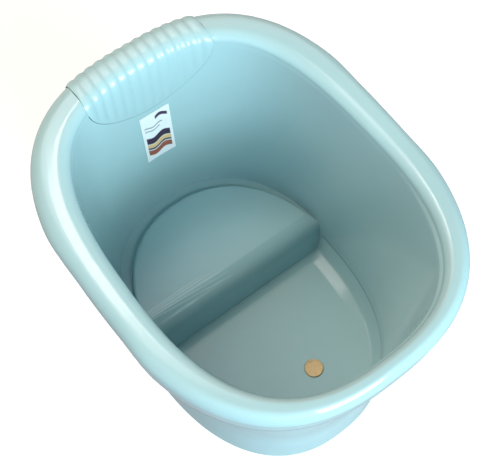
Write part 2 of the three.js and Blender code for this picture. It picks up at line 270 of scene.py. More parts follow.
def rim_point(angle, share, inset, depth):
    """A point of the rim, set in from the outer edge by a share of the rim's width plus a fixed inset."""
    edge = outline(RIM, angle)
    inset = inset + grip_dip(edge[..., 1]) * max(1 - share / OUTER_ROLL["crest"], 0)
    plan = offset_outline(RIM, angle, -share * rim_width(edge) - inset)
    return lift(plan, rim_top(edge[..., 1]) - depth)


def skirt_point(angle, inset, depth):
    """A point of the skirt, which leans in a little below the roll."""
    down = (depth - OUTER_ROLL["height"]) / (SKIRT_DEPTH - OUTER_ROLL["height"])
    return rim_point(angle, 0, inset + down * SKIRT_INSET, depth)


def bead_width(angle):
    """The inner roll ends in a bead, which stands out most at the front."""
    y = outline(RIM, angle)[..., 1]
    fade = smooth_step((BEAD["fade_from"] - y) / (BEAD["fade_from"] - BEAD["fade_to"]))
    return BEAD["side"] + (BEAD["front"] - BEAD["side"]) * fade


def bead_point(angle, share, depth):
    """A point between the inner roll and the bead's edge, by its share of the bead's width."""
    return rim_point(angle, 1, bead_width(angle) * share, depth)


def inner_wall_top(angle):
    return bead_point(angle, 1, BEAD["bottom"])


def inner_wall(angle, share):
    """A point of the inner wall, by its share of the way down from the bead to the ledge."""
    top = inner_wall_top(angle)
    return top + (lift(outline(WALL_FOOT, angle), LEDGE_HEIGHT) - top) * np.asarray(share)[..., None]


def foot_inside(angle, height):
    """The inner face of the wall below the ledge's level, at the given heights."""
    height = np.broadcast_to(height, np.shape(angle))
    upper = np.clip((height - CREASE_HEIGHT) / (LEDGE_HEIGHT - CREASE_HEIGHT), 0, 1)
    return lift(offset_outline(WALL_FOOT, angle, -WELL_CREASE * (1 - upper)), height)


def foot_under(angle, height):
    """The hidden inner face of the foot below the floor."""
    low = offset_outline(BASE, angle, -FOOT_RING)
    high = offset_outline(WALL_FOOT, angle, -WELL_CREASE)
    height = np.broadcast_to(height, np.shape(angle))
    share = np.clip(height / CREASE_HEIGHT, 0, 1)[..., None]
    top = foot_inside(angle, np.maximum(height, CREASE_HEIGHT))[..., :2]
    return lift(np.where(height[..., None] < CREASE_HEIGHT, low + (high - low) * share, top), height)


def nearest(points, loop):
    """Distance from each point to the nearest point of a loop, a block at a time to spare memory."""
    block = 4000
    parts = [points[start : start + block] for start in range(0, len(points), block)]
    return np.concatenate([np.sqrt(((part[:, None] - loop) ** 2).sum(-1)).min(-1) for part in parts])


def inside_depth(shape, x, y):
    """How far inside an outline each point lies; negative outside it."""
    shift = np.array([shape["shift"], 0])
    loop = outline(shape, np.linspace(0, 2 * math.pi, 1440, endpoint=False)) - shift
    points = np.stack([x.ravel(), y.ravel()], axis=-1) - shift
    angle_of = np.arctan2(
        np.sign(points[:, 1]) * (np.abs(points[:, 1]) / shape["back"]) ** (shape["back_power"] / 2),
        np.sign(points[:, 0]) * (np.abs(points[:, 0]) / shape["half"]) ** (shape["back_power"] / 2),
    )
    reach = np.linalg.norm(outline(shape, angle_of) - shift, axis=-1)
    sign = np.where(np.linalg.norm(points, axis=-1) <= reach, 1.0, -1.0)
    return (nearest(points, loop) * sign).reshape(x.shape)


def platform_rise(depth):
    """Height of the platform over the ledge, by the distance inside its outline."""
    tall = PLATFORM_HEIGHT - LEDGE_HEIGHT
    share = PLATFORM_FOOT["share"]
    foot = share * tall * np.clip(depth / PLATFORM_FOOT["width"] + 1, 0, 1) ** 2
    across = np.clip(1 - depth / PLATFORM_EDGE, 0, 1)
    return np.where(depth < 0, foot, tall * (share + (1 - share) * np.sqrt(1 - across**2)))


def step_height(y):
    """Side view of the platform's front: a steep face, a round nose and a flat top."""
    centre_y = STEP["top_y"] + STEP["nose"]
    centre_z = PLATFORM_HEIGHT - STEP["nose"]
    rise = (centre_z - WELL_HEIGHT) / (STEP["top_y"] - STEP["bottom_y"])
    face = WELL_HEIGHT + (y - STEP["bottom_y"]) * rise
    across = np.clip((centre_y - y) / STEP["nose"], 0, 1)
    nose = centre_z + STEP["nose"] * np.sqrt(1 - across**2)
    return np.where(y < STEP["top_y"], face, nose)


def floor_height(x, y):
    """Height of the tub's floor: the well in front, and behind it the ledge with the platform on it."""
    depth = np.maximum(inside_depth(WALL_FOOT, x, y), 0)
    rear = LEDGE_HEIGHT + platform_rise(inside_depth(PLATFORM, x, y))
    ramp_width = WELL_RAMP["width"] * smooth_step((y - WELL_RAMP["from"]) / WELL_RAMP["blend"])
    ramp = WELL_RAMP["slope"] * np.clip(WELL_EDGE["width"] + ramp_width - depth, 0, ramp_width)
    edge = np.clip(1 - depth / WELL_EDGE["width"], 0, 1)
    well = WELL_HEIGHT + ramp + (WELL_EDGE["height"] - ramp) * edge ** WELL_EDGE["power"]
    corner = STEP["corner"] * np.clip((y - STEP["bottom_y"]) / STEP["corner"] + 1, 0, 1) ** 2
    front = np.maximum(well, np.where(y < STEP["bottom_y"], WELL_HEIGHT + corner, 0))
    return np.maximum(front, np.minimum(rear, step_height(y)))


def under_height(x, y):
    """Height of the floor's hidden underside."""
    rear = LEDGE_HEIGHT - SKIN + platform_rise(inside_depth(PLATFORM, x, y) - SKIN)
    return np.maximum(WELL_HEIGHT - SKIN, np.minimum(rear, step_height(y - SKIN) - SKIN))


# ---------------------------------------------------------------- meshes


def mesh_object(name, points, faces, sharp_angle=SHARP_ANGLE, border=None):
    """A smooth-shaded object from points in millimetres.

    The border, where given, is each point's distance from the piece's edge, for its material.
    """
    mesh = bpy.data.meshes.new(name)
    mesh.from_pydata((np.asarray(points, float) * MM).tolist(), [], faces)
    if border is not None:
        mesh.attributes.new("border", "FLOAT", "POINT").data.foreach_set("value", border)
    edit = bmesh.new()
    edit.from_mesh(mesh)
    bmesh.ops.remove_doubles(edit, verts=edit.verts, dist=MERGE_DISTANCE * MM)
    bmesh.ops.dissolve_degenerate(edit, edges=edit.edges, dist=SHORTEST_EDGE * MM)
    bmesh.ops.recalc_face_normals(edit, faces=edit.faces)
    edit.to_mesh(mesh)
    edit.free()
    obj = bpy.data.objects.new(name, mesh)
    bpy.context.scene.collection.objects.link(obj)
    shade(obj, sharp_angle)
    return obj


def shade(obj, sharp_angle):
    """Smooth shading, with the edges over the given angle kept sharp."""
    obj.data.shade_smooth()
    obj.data.set_sharp_from_angle(angle=math.radians(sharp_angle))


def grid_faces(rows, columns, start=0, close_columns=False):
    """Quads of a grid of points stored row by row."""
    last = columns if close_columns else columns - 1
    return [
        (
            start + r * columns + c,
            start + r * columns + (c + 1) % columns,
            start + (r + 1) * columns + (c + 1) % columns,
            start + (r + 1) * columns + c,
        )
        for r in range(rows - 1)
        for c in range(last)
    ]


def ring_angles():
    """Angles from the front over the right to the back and down the left, finer at the step."""
    coarse = np.linspace(-90, 90, 151)
    before = coarse[coarse < FACE_ANGLES[0]]
    after = coarse[coarse > NOSE_ANGLES[1]]
    right = np.concatenate([before, np.arange(*FACE_ANGLES), np.arange(*NOSE_ANGLES), after])
    return np.radians(np.concatenate([right, 180 - right[1:-1][::-1]]))


def arc(count):
    """Evenly spaced angles over a quarter turn."""
    return np.linspace(0, math.pi / 2, count + 1)


def skin_rows():
    """Row functions over the visible skin, from the skirt's foot over the rim to the inner wall's top."""
    crest_out, crest_in = OUTER_ROLL["crest"], INNER_ROLL["crest"]
    below_roll = 3
    skirt_depths = np.linspace(SKIRT_DEPTH - EDGE_ROUND, OUTER_ROLL["height"] + below_roll, 5)
    rows = [lambda a, d=depth: skirt_point(a, 0, d) for depth in skirt_depths]
    for turn in arc(14):
        share = crest_out * (1 - math.cos(turn))
        depth = OUTER_ROLL["height"] * (1 - math.sin(turn))
        rows.append(lambda a, s=share, d=depth: rim_point(a, s, 0, d))
    for share in np.linspace(crest_out, crest_in, 5)[1:-1]:
        rows.append(lambda a, s=share: rim_point(a, s, 0, 0))
    for turn in arc(10)[::-1]:
        share = crest_in + (1 - crest_in) * math.cos(turn)
        depth = INNER_ROLL["height"] * (1 - math.sin(turn))
        rows.append(lambda a, s=share, d=depth: rim_point(a, s, 0, d))
    for share in np.linspace(0, 1, 7)[1:-1]:
        part = float(smooth_step(share))
        depth = INNER_ROLL["height"] + share * (BEAD["bottom"] - INNER_ROLL["height"])
        rows.append(lambda a, s=part, d=depth: bead_point(a, s, d))
    rows.append(inner_wall_top)
    return rows


def hidden_rows():
    """Row functions from the skirt's foot up behind it, under the rim and down outside to the ground."""
    crest_out, crest_in = OUTER_ROLL["crest"], INNER_ROLL["crest"]
    rows = [
        lambda a: skirt_point(a, SKIRT_CORNER, SKIRT_DEPTH),
        lambda a: skirt_point(a, SKIN - SKIRT_CORNER, SKIRT_DEPTH),
        lambda a: skirt_point(a, SKIN, SKIRT_DEPTH - EDGE_ROUND),
    ]
    for turn in arc(6):
        share = crest_out * (1 - math.cos(turn))
        inset = SKIN * math.cos(turn)
        depth = OUTER_ROLL["height"] - (OUTER_ROLL["height"] - SKIN) * math.sin(turn)
        rows.append(lambda a, s=share, i=inset, d=depth: rim_point(a, s, i, d))
    for turn in arc(6)[::-1]:
        share = crest_in + (1 - crest_in) * math.cos(turn)
        lean = math.cos(turn)
        depth = BEAD["bottom"] - (BEAD["bottom"] - SKIN) * math.sin(turn)
        rows.append(lambda a, s=share, k=lean, d=depth: rim_point(a, s, (bead_width(a) - SKIN) * k, d))
    for share in np.linspace(0, 1, 9)[1:]:
        rows.append(lambda a, s=share: outer_wall(a, s))
    for share in np.linspace(0, 1, 5)[1:-1]:
        rows.append(lambda a, s=share: foot_outside(a, s))
    rows.append(lambda a: lift(outline(BASE, a), EDGE_ROUND))
    rows.append(lambda a: lift(offset_outline(BASE, a, -EDGE_ROUND), 0))
    rows.append(lambda a: lift(offset_outline(BASE, a, -FOOT_RING), 0))
    return rows


def outer_wall(angle, share):
    """A point of the outer face behind the skirt, by its share of the way down to the foot."""
    top = rim_point(angle, 1, bead_width(angle) - SKIN, BEAD["bottom"])
    low = lift(offset_outline(WALL_FOOT, angle, SKIN), LEDGE_HEIGHT)
    return top + (low - top) * share


def foot_outside(angle, share):
    """A point of the outer face below the ledge's level, which turns a little outwards to the ground."""
    top = lift(offset_outline(WALL_FOOT, angle, SKIN), LEDGE_HEIGHT)
    low = lift(outline(BASE, angle), 0)
    return top + (low - top) * share


def platform_half(y):
    """Half width of the platform's outline at a distance along the tub."""
    power = PLATFORM["back_power"]
    return PLATFORM["half"] * max(1 - abs(y / PLATFORM["back"]) ** power, 0) ** (1 / power)


def cross_columns(half, y):
    """Positions across one row of the floor, crowded round the platform's edge or along the wall."""
    edge = platform_half(y)
    shift = PLATFORM["shift"]
    rear = float(smooth_step((y - CROWDED["from"]) / CROWDED["blend"]))
    inner = rear * (edge - CROWDED["inside"] - shift) + (1 - rear) * (half - CROWDED["wall_far"])
    outer = rear * (edge + CROWDED["outside"] + shift) + (1 - rear) * (half - CROWDED["wall_near"])
    inner = np.clip(inner, CROWDED_LIMITS["least"] * half, CROWDED_LIMITS["most"] * half)
    outer = np.clip(outer, inner + CROWDED_LIMITS["apart"] * half, CROWDED_LIMITS["last"] * half)
    middle = np.linspace(0, inner, 19)
    crowded = np.linspace(inner, outer, 21)
    side = np.linspace(outer, half, 13)
    right = np.concatenate([middle, crowded[1:], side[1:]])
    return np.concatenate([-right[1:][::-1], right])


def floor_patch(border, height_at):
    """Points and faces of a patch inside a closed border, with a row for each pair of border points."""
    half_count = len(border) // 2
    plan = []
    for half, y, _ in border[1:half_count]:
        across = cross_columns(half, y)
        plan.append(np.stack([across, np.full_like(across, y)], axis=-1))
    plan = np.array(plan)
    points = lift(plan, height_at(plan[..., 0], plan[..., 1]))
    points[:, -1] = border[1:half_count]
    points[:, 0] = border[:half_count:-1]
    rows, columns = points.shape[:2]
    flat = points.reshape(-1, 3)
    faces = grid_faces(rows, columns)
    front, back = len(flat), len(flat) + 1
    flat = np.vstack([flat, border[0], border[half_count]])
    last = (rows - 1) * columns
    faces += [(front, c + 1, c) for c in range(columns - 1)]
    faces += [(back, last + c, last + c + 1) for c in range(columns - 1)]
    return flat, faces


def tub_body():
    """The closed tub: visible skin, hidden skin, floor and underside."""
    angles = ring_angles()
    plan = foot_inside(angles, LEDGE_HEIGHT)
    border_height = floor_height(plan[:, 0] * JUST_INSIDE, plan[:, 1])
    drop = LEDGE_HEIGHT - np.clip(border_height, CREASE_HEIGHT, LEDGE_HEIGHT)
    under_plan = foot_under(angles, LEDGE_HEIGHT - SKIN)
    under = under_height(under_plan[:, 0] * JUST_INSIDE, under_plan[:, 1])
    under = np.minimum(under, LEDGE_HEIGHT - SKIN)
    rows = [row(angles) for row in skin_rows()]
    rows += [inner_wall(angles, np.full(len(angles), s)) for s in np.linspace(0, 1, 31)[1:]]
    rows += [foot_inside(angles, LEDGE_HEIGHT - drop * s) for s in (0.2, 0.4, 0.6, 0.8, 1)]
    hidden = [row(angles) for row in hidden_rows()]
    hidden += [foot_under(angles, under * s) for s in (0.25, 0.5, 0.75, 1)]
    ring = np.concatenate(hidden[::-1] + rows)
    count = len(angles)
    faces = grid_faces(len(hidden) + len(rows), count, close_columns=True)
    top_points, top_faces = floor_patch(rows[-1], floor_height)
    low_points, low_faces = floor_patch(hidden[-1], under_height)
    shift = len(ring)
    faces += [tuple(v + shift for v in f) for f in top_faces]
    shift += len(top_points)
    faces += [tuple(v + shift for v in f[::-1]) for f in low_faces]
    return mesh_object("tub", np.concatenate([ring, top_points, low_points]), faces)


def lathe(name, profile, centre, sharp_angle=SHARP_ANGLE):
    """A closed solid turned from a profile of (radius, height) that starts and ends on the axis."""
    segments = 72
    turns = np.linspace(0, 2 * math.pi, segments, endpoint=False)
    points = [(centre[0], centre[1], profile[0][1])]
    for radius, height in profile[1:-1]:
        x = centre[0] + radius * np.cos(turns)
        y = centre[1] + radius * np.sin(turns)
        points += [(*place, height) for place in zip(x, y)]
    points.append((centre[0], centre[1], profile[-1][1]))
    faces = grid_faces(len(profile) - 2, segments, start=1, close_columns=True)
    last = len(points) - 1
    top = last - segments
    faces += [(0, 1 + (i + 1) % segments, 1 + i) for i in range(segments)]
    faces += [(last, top + i, top + (i + 1) % segments) for i in range(segments)]
    return mesh_object(name, points, faces, sharp_angle)


def boolean(obj, tool, operation):
    """Joins a tool to an object or cuts it away, and removes the tool."""
    modifier = obj.modifiers.new(operation, "BOOLEAN")
    modifier.object = tool
    modifier.operation = operation
    modifier.solver = "EXACT"
    apply_modifiers(obj)
    bpy.data.objects.remove(tool, do_unlink=True)


def apply_modifiers(obj):
    """Replaces an object's mesh by what its modifiers make of it."""
    graph = bpy.context.evaluated_depsgraph_get()
    mesh = bpy.data.meshes.new_from_object(obj.evaluated_get(graph), depsgraph=graph)
    obj.modifiers.clear()
    old = obj.data
    obj.data = mesh
    bpy.data.meshes.remove(old)


def boss_profile(low):
    """The boss below the floor, which reaches a third of the way into the floor's skin."""
    in_floor = WELL_HEIGHT - SKIN + SKIN / 3
    return [
        (0, low),
        (DRAIN["boss"] - EDGE_ROUND, low),
        (DRAIN["boss"], low + EDGE_ROUND),
        (DRAIN["boss"], in_floor),
        (0, in_floor),
    ]


def hole_profile(low):
    """The hole through the boss and the recess round it, from below the boss to above the floor."""
    seat = WELL_HEIGHT - DRAIN["depth"]
    below = low - 5
    above = WELL_HEIGHT + 4
    recess_top = DRAIN["recess"] + RECESS_CHAMFER
    return [
        (0, below),
        (DRAIN["hole"], below),
        (DRAIN["hole"], seat - CHAMFER),
        (DRAIN["hole"] + CHAMFER, seat),
        (DRAIN["recess"], seat),
        (DRAIN["recess"], WELL_HEIGHT - RECESS_CHAMFER),
        (recess_top, WELL_HEIGHT),
        (recess_top, above),
        (0, above),
    ]


def add_drain(tub):
    """Adds the boss under the well's floor, then cuts the recess and the hole for the plug."""
    low = WELL_HEIGHT - SKIN - DRAIN["boss_height"]
    boolean(tub, lathe("boss", boss_profile(low), DRAIN_CENTRE), "UNION")
    boolean(tub, lathe("hole", hole_profile(low), DRAIN_CENTRE), "DIFFERENCE")
    shade(tub, SHARP_ANGLE)


def at_x(row, x):
    """Where a row of the tub's skin crosses the given X positions, behind the middle."""
    points = row(np.linspace(0.2 * math.pi, 0.8 * math.pi, 721))[::-1]
    y = np.interp(x, points[:, 0], points[:, 1])
    z = np.interp(x, points[:, 0], points[:, 2])
    return np.stack([x, y, z], axis=-1)


def wall_points(x, height):
    """Points of the inner back wall at given X and height."""
    stack = np.array([at_x(row, x) for row in wall_rows()])
    y = np.array([np.interp(-h, -stack[:, i, 2], stack[:, i, 1]) for i, h in enumerate(height)])
    return np.stack([x, y, height], axis=-1)


def wall_rows():
    """Row functions down the inner wall, from its top to the ledge."""
    shares = np.linspace(0, 1, WALL_ROWS)
    return [lambda a, s=share: inner_wall(a, np.full(len(a), s)) for share in shares]


def rest_low(x):
    """The leg rest's lower edge hangs down the inner wall as a round-cornered tongue."""
    across = np.clip(np.abs(x - REST["centre"]) / REST["half"], 0, 1)
    drop = (1 - across ** TONGUE["power"]) ** (1 / TONGUE["power"])
    return TONGUE["shoulder"] - (TONGUE["shoulder"] - TONGUE["low"]) * drop


def resample(line, lengths):
    """Points along a line at the given distances from its start."""
    along = line_lengths(line)
    return np.stack([np.interp(lengths, along, line[:, k]) for k in range(3)], axis=-1)


def line_lengths(line):
    """Distance along a line to each of its points."""
    return np.concatenate([[0], np.cumsum(np.linalg.norm(np.diff(line, axis=0), axis=-1))])


def grid_normals(points):
    """Unit normals of a grid of points, on the side of the cross product of its rows and columns."""
    normal = np.cross(np.gradient(points, axis=0), np.gradient(points, axis=1))
    return normal / np.linalg.norm(normal, axis=-1, keepdims=True)


def shell(name, outer, inner, sharp_angle, border):
    """A thin closed shell between two grids of the same size."""
    rows, columns = outer.shape[:2]
    count = rows * columns
    faces = grid_faces(rows, columns)
    faces += [tuple(v + count for v in f[::-1]) for f in grid_faces(rows, columns)]
    loop = list(range(columns - 1))
    loop += [r * columns + columns - 1 for r in range(rows - 1)]
    loop += [(rows - 1) * columns + c for c in range(columns - 1, 0, -1)]
    loop += [r * columns for r in range(rows - 1, 0, -1)]
    for i, a in enumerate(loop):
        b = loop[(i + 1) % len(loop)]
        faces.append((b, a, a + count, b + count))
    points = np.concatenate([outer.reshape(-1, 3), inner.reshape(-1, 3)])
    return mesh_object(name, points, faces, sharp_angle, np.tile(border.ravel(), 2))


def rest_grid(x):
    """The tub's skin below the leg rest, in columns from the skirt's foot over the rim to the low edge."""
    skin = np.array([at_x(row, x) for row in skin_rows() + wall_rows()[1:]])
    crest = np.argmax(skin[:, :, 2].mean(axis=1))
    columns = []
    for column, low in zip(skin.transpose(1, 0, 2), rest_low(x)):
        along = line_lengths(column)
        end = np.interp(-low, -column[crest:, 2], along[crest:])
        columns.append(resample(column, np.linspace(0, end, REST_ROWS)))
    return np.stack(columns, axis=1)


def smooth_rows(grid, passes):
    """Evens out small steps along each column, with both ends held."""
    result = grid.copy()
    for _ in range(passes):
        result[1:-1] = (result[:-2] + 2 * result[1:-1] + result[2:]) / 4
    return result


def rib_height(base, normals, along):
    """Height of the ribs: full over the rim, lower on the wall, and fading towards both ends of a rib."""
    columns = base.shape[1]
    phase = np.arange(columns) % RIB["columns"] / RIB["columns"]
    corrugation = 1 - np.abs(np.cos(math.pi * phase)) ** RIB["power"]
    facing_up = smooth_step((normals[..., 2] - RIB["tilt"]) / RIB["tilt_blend"])
    inside_rib = REST["wall_rib"] + (REST["rib"] - REST["wall_rib"]) * facing_up
    outside = along < along[np.argmax(base[:, columns // 2, 2])]
    strength = np.where(outside, REST["rib"], inside_rib)
    fade = smooth_step((along[-1] - along) / RIB["fade_low"]) * smooth_step(along / RIB["fade_skirt"])
    return strength * fade * corrugation


def rest_border(x, along):
    """Distance from the leg rest's edge. The low edge slants, so it is nearer than along a column."""
    from_side = np.minimum(x - x[0], x[-1] - x)
    from_low = (along[-1] - along) * REST_EDGE["low_share"]
    return np.minimum(np.minimum(along, from_low), from_side)


def leg_rest():
    """The ribbed saddle over the back rim and a little way down the inner wall."""
    left = REST["centre"] - REST["half"]
    right = REST["centre"] + REST["half"]
    x = np.linspace(left, right, REST["ribs"] * RIB["columns"] + 1)
    skin = rest_grid(x)
    base = smooth_rows(skin, REST_PASSES)
    normals = grid_normals(base)
    along = np.array([line_lengths(column) for column in base.transpose(1, 0, 2)]).T
    border = rest_border(x, along)
    edge = np.sqrt(np.clip(1 - (1 - np.clip(border / REST_EDGE["round"], 0, 1)) ** 2, 0, 1))
    height = GAP + REST["edge"] + (REST["skin"] + rib_height(base, normals, along)) * edge
    outer = base + normals * height[..., None]
    inner = skin + grid_normals(skin) * GAP
    return shell("leg_rest", outer, inner, REST_SHARP_ANGLE, border)


def label_film():
    """The printed film on the inner wall below the leg rest."""
    columns, rows = 37, 77
    half = LABEL["width"] / 2
    x = np.linspace(LABEL["centre"] - half, LABEL["centre"] + half, columns)
    heights = np.linspace(LABEL["low"], LABEL["high"], rows)
    base = np.array([wall_points(x, np.full(columns, height)) for height in heights])
    inner = base + np.array([0, -GAP, 0])
    outer = base + np.array([0, -GAP - LABEL["skin"], 0])
    from_side = half - np.abs(base[..., 0] - LABEL["centre"])
    from_end = np.minimum(base[..., 2] - LABEL["low"], LABEL["high"] - base[..., 2])
    return shell("label_film", outer, inner, SMALL_SHARP_ANGLE, np.minimum(from_side, from_end))


def plug_top(top):
    """Profile of the head's top: its rounded edge, a flat lip and a shallow dish."""
    corner = PLUG["head"] - EDGE_ROUND
    shoulder = top - EDGE_ROUND
    lip = PLUG["head"] - PLUG_TOP["lip"]
    dish = PLUG_TOP["dish"]
    rounding = [(corner + EDGE_ROUND * math.cos(t), shoulder + EDGE_ROUND * math.sin(t)) for t in arc(5)]
    fall = [(lip - dish * math.sin(t), top - dish * (1 - math.cos(t))) for t in arc(5)]
    flat_radii = (lip - dish - PLUG_TOP["flat_edge"], PLUG_TOP["middle"], 0)
    flat = [(radius, top - dish) for radius in flat_radii]
    return rounding + fall + flat


def plug():
    """The drain plug: a tapered stem and a round head."""
    seat = WELL_HEIGHT - DRAIN["depth"] + GAP
    low = seat - PLUG["stem"]
    profile = [
        (0, low),
        (PLUG["stem_foot"] - EDGE_ROUND, low),
        (PLUG["stem_foot"], low + EDGE_ROUND),
        (PLUG["stem_top"], seat - PLUG["neck"]),
        (PLUG["stem_top"], seat),
        (PLUG["head"] - CHAMFER, seat),
        (PLUG["head"], seat + CHAMFER),
        *plug_top(seat + PLUG["head_height"]),
    ]
    return lathe("plug", profile, DRAIN_CENTRE, SMALL_SHARP_ANGLE)


# ---------------------------------------------------------------- materials


class Nodes:
    """A small helper that adds and joins shader nodes."""

    def __init__(self, name):
        self.material = bpy.data.materials.new(name)
        self.material.use_nodes = True
        self.tree = self.material.node_tree
        self.shader = self.tree.nodes["Principled BSDF"]
        self.position = self.add("ShaderNodeTexCoord").outputs["Object"]

    def add(self, kind, **settings):
        node = self.tree.nodes.new(kind)
        for key, value in settings.items():
            setattr(node, key, value)
        return node

    def join(self, source, target):
        self.tree.links.new(source, target)

    def noise(self, scale, detail=2.0, stretch=(1, 1, 1), roughness=0.5):
        """A noise texture in the object's own coordinates, in metres."""
        mapping = self.add("ShaderNodeMapping")
        mapping.inputs["Scale"].default_value = stretch
        self.join(self.position, mapping.inputs["Vector"])
        node = self.add("ShaderNodeTexNoise")
        node.inputs["Scale"].default_value = scale
        node.inputs["Detail"].default_value = detail
        node.inputs["Roughness"].default_value = roughness
        self.join(mapping.outputs["Vector"], node.inputs["Vector"])
        return node.outputs["Fac"]

    def remap(self, value, low, high, to_low, to_high):
        """A value moved from one range to another, and kept inside it."""
        node = self.add("ShaderNodeMapRange")
        self.join(value, node.inputs["Value"])
        node.inputs["From Min"].default_value = low
        node.inputs["From Max"].default_value = high
        node.inputs["To Min"].default_value = to_low
        node.inputs["To Max"].default_value = to_high
        return node.outputs["Result"]

    def fade_in(self, value, start, end):
        """0 before the start and 1 after the end."""
        return self.remap(value, start, end, 0, 1)

    def fade_out(self, value, start, end):
        """1 before the start and 0 after the end."""
        return self.remap(value, start, end, 1, 0)

    def split(self, vector):
        """The three parts of a vector."""
        node = self.add("ShaderNodeSeparateXYZ")
        self.join(vector, node.inputs["Vector"])
        return node.outputs["X"], node.outputs["Y"], node.outputs["Z"]

    def normal(self):
        """The direction that the surface faces."""
        return self.add("ShaderNodeNewGeometry").outputs["Normal"]

    def math(self, operation, a, b=None):
        """An operation on sockets or plain numbers."""
        node = self.add("ShaderNodeMath", operation=operation)
        for socket, value in zip(node.inputs, (a, b)):
            if value is None:
                continue
            if isinstance(value, (int, float)):
                socket.default_value = value
            else:
                self.join(value, socket)
        return node.outputs["Value"]

    def product(self, first, *others):
        for other in others:
            first = self.math("MULTIPLY", first, other)
        return first

    def mix(self, factor, a, b):
        """One colour fading to another as the factor goes from 0 to 1."""
        node = self.add("ShaderNodeMix", data_type="RGBA")
        self.join(factor, node.inputs["Factor"])
        for socket, value in ((node.inputs[6], a), (node.inputs[7], b)):
            if isinstance(value, tuple):
                socket.default_value = (*value, 1)
            else:
                self.join(value, socket)
        return node.outputs[2]

    def bump(self, height, strength, distance):
        node = self.add("ShaderNodeBump")
        node.inputs["Strength"].default_value = strength
        node.inputs["Distance"].default_value = distance
        self.join(height, node.inputs["Height"])
        self.join(node.outputs["Normal"], self.shader.inputs["Normal"])


def dulled_floor(nodes):
    """Mask of the level floor inside the tub, which feet and cleaning have dulled."""
    _, _, upright = nodes.split(nodes.normal())
    _, _, z = nodes.split(nodes.position)
    level = nodes.fade_in(upright, *LEVEL_RANGE)
    low = nodes.fade_out(z, (PLATFORM_HEIGHT + 1) * MM, (PLATFORM_HEIGHT + 3) * MM)
    return nodes.product(level, low)


def nose_lines_and_highlights(nodes):
    """Mask of the fine pale lines on the platform's nose, flow marks and painted highlights, which only
    its left half has.
    """
    x, y, z = nodes.split(nodes.position)
    lines = 0.0
    for middle, slope, end in NOSE_LINES:
        line_y = nodes.math("ADD", nodes.math("MULTIPLY", x, slope), middle * MM)
        off = nodes.math("ABSOLUTE", nodes.math("SUBTRACT", y, line_y))
        line = nodes.fade_out(off, 0, NOSE_LINE_REACH * MM)
        fade = nodes.fade_out(x, (end - NOSE_LINE_FADE) * MM, end * MM)
        lines = nodes.math("ADD", nodes.product(line, fade), lines)
    below_top = nodes.fade_out(z, (PLATFORM_HEIGHT + 1) * MM, (PLATFORM_HEIGHT + 2) * MM)
    above_ledge = nodes.fade_in(z, (LEDGE_HEIGHT + 2) * MM, (LEDGE_HEIGHT + 4) * MM)
    inside = nodes.fade_in(x, NOSE_LINES_FROM * MM, (NOSE_LINES_FROM + 4) * MM)
    return nodes.product(below_top, above_ledge, inside, lines)


def crease_shade(nodes):
    """Mask of the painted shade line in the crease round the well, on faces that look towards the middle.
    """
    _, y, z = nodes.split(nodes.position)
    off = nodes.math("ABSOLUTE", nodes.math("SUBTRACT", z, CREASE_HEIGHT * MM))
    line = nodes.fade_out(off, CREASE_SHADE_HALF * 0.5 * MM, CREASE_SHADE_HALF * MM)
    well = nodes.fade_out(y, STEP["bottom_y"] * MM, (STEP["bottom_y"] + STEP["corner"]) * MM)
    flat = nodes.add("ShaderNodeVectorMath", operation="MULTIPLY")
    nodes.join(nodes.position, flat.inputs[0])
    flat.inputs[1].default_value = (1, 1, 0)
    facing = nodes.add("ShaderNodeVectorMath", operation="DOT_PRODUCT")
    nodes.join(flat.outputs["Vector"], facing.inputs[0])
    nodes.join(nodes.normal(), facing.inputs[1])
    inwards = nodes.math("LESS_THAN", facing.outputs["Value"], 0)
    return nodes.product(well, inwards, line)


def plastic_tint(nodes, colour, seam_shade):
    """The plastic's colour with its marks and painted shade; the last argument is the width of the painted
    shade along the piece's edge.
    """
    cloud = nodes.fade_in(nodes.noise(scale=9, detail=3), *NOISE_RANGE)
    tint = nodes.mix(cloud, tuple(c * 0.95 for c in colour), colour)
    # Pale lines on the nose: partly flow marks, partly painted highlights
    tint = nodes.mix(nodes.product(nose_lines_and_highlights(nodes), MARK_STRENGTH), tint, PALE)
    # Painted shade in the crease round the well
    tint = nodes.mix(nodes.product(crease_shade(nodes), MARK_STRENGTH), tint, PAINTED_SHADE)
    # Painted shade along the piece's edge, where the seam between it and the tub falls in shadow
    if seam_shade:
        border = nodes.add("ShaderNodeAttribute", attribute_name="border").outputs["Fac"]
        tint = nodes.mix(nodes.fade_out(border, seam_shade * 0.5, seam_shade), tint, PAINTED_SHADE)
    return tint


def plastic(name, colour, roughness, seam_shade=0):
    """Glossy moulded polypropylene with faint clouds, scuffs and a fine orange peel."""
    nodes = Nodes(name)
    nodes.join(plastic_tint(nodes, colour, seam_shade), nodes.shader.inputs["Base Color"])
    scuffs = nodes.noise(scale=60, detail=4, stretch=(1, 3, 1), roughness=0.6)
    gloss = nodes.remap(scuffs, *SCUFF_RANGE, roughness, roughness + SCUFF_DULLING)
    dull = nodes.product(dulled_floor(nodes), FLOOR_DULLING)
    nodes.join(nodes.math("ADD", gloss, dull), nodes.shader.inputs["Roughness"])
    peel = nodes.product(nodes.noise(scale=420), 0.05)
    flow = nodes.product(nodes.noise(scale=14, stretch=(1, 1, 0.3)), 0.9)
    nodes.bump(nodes.math("ADD", peel, flow), strength=0.25, distance=0.0012)
    nodes.shader.inputs["Subsurface Weight"].default_value = 0.1
    nodes.shader.inputs["Subsurface Radius"].default_value = (0.6, 1.0, 1.0)
    nodes.shader.inputs["Subsurface Scale"].default_value = 0.004
    nodes.shader.inputs["IOR"].default_value = 1.49
    return nodes.material


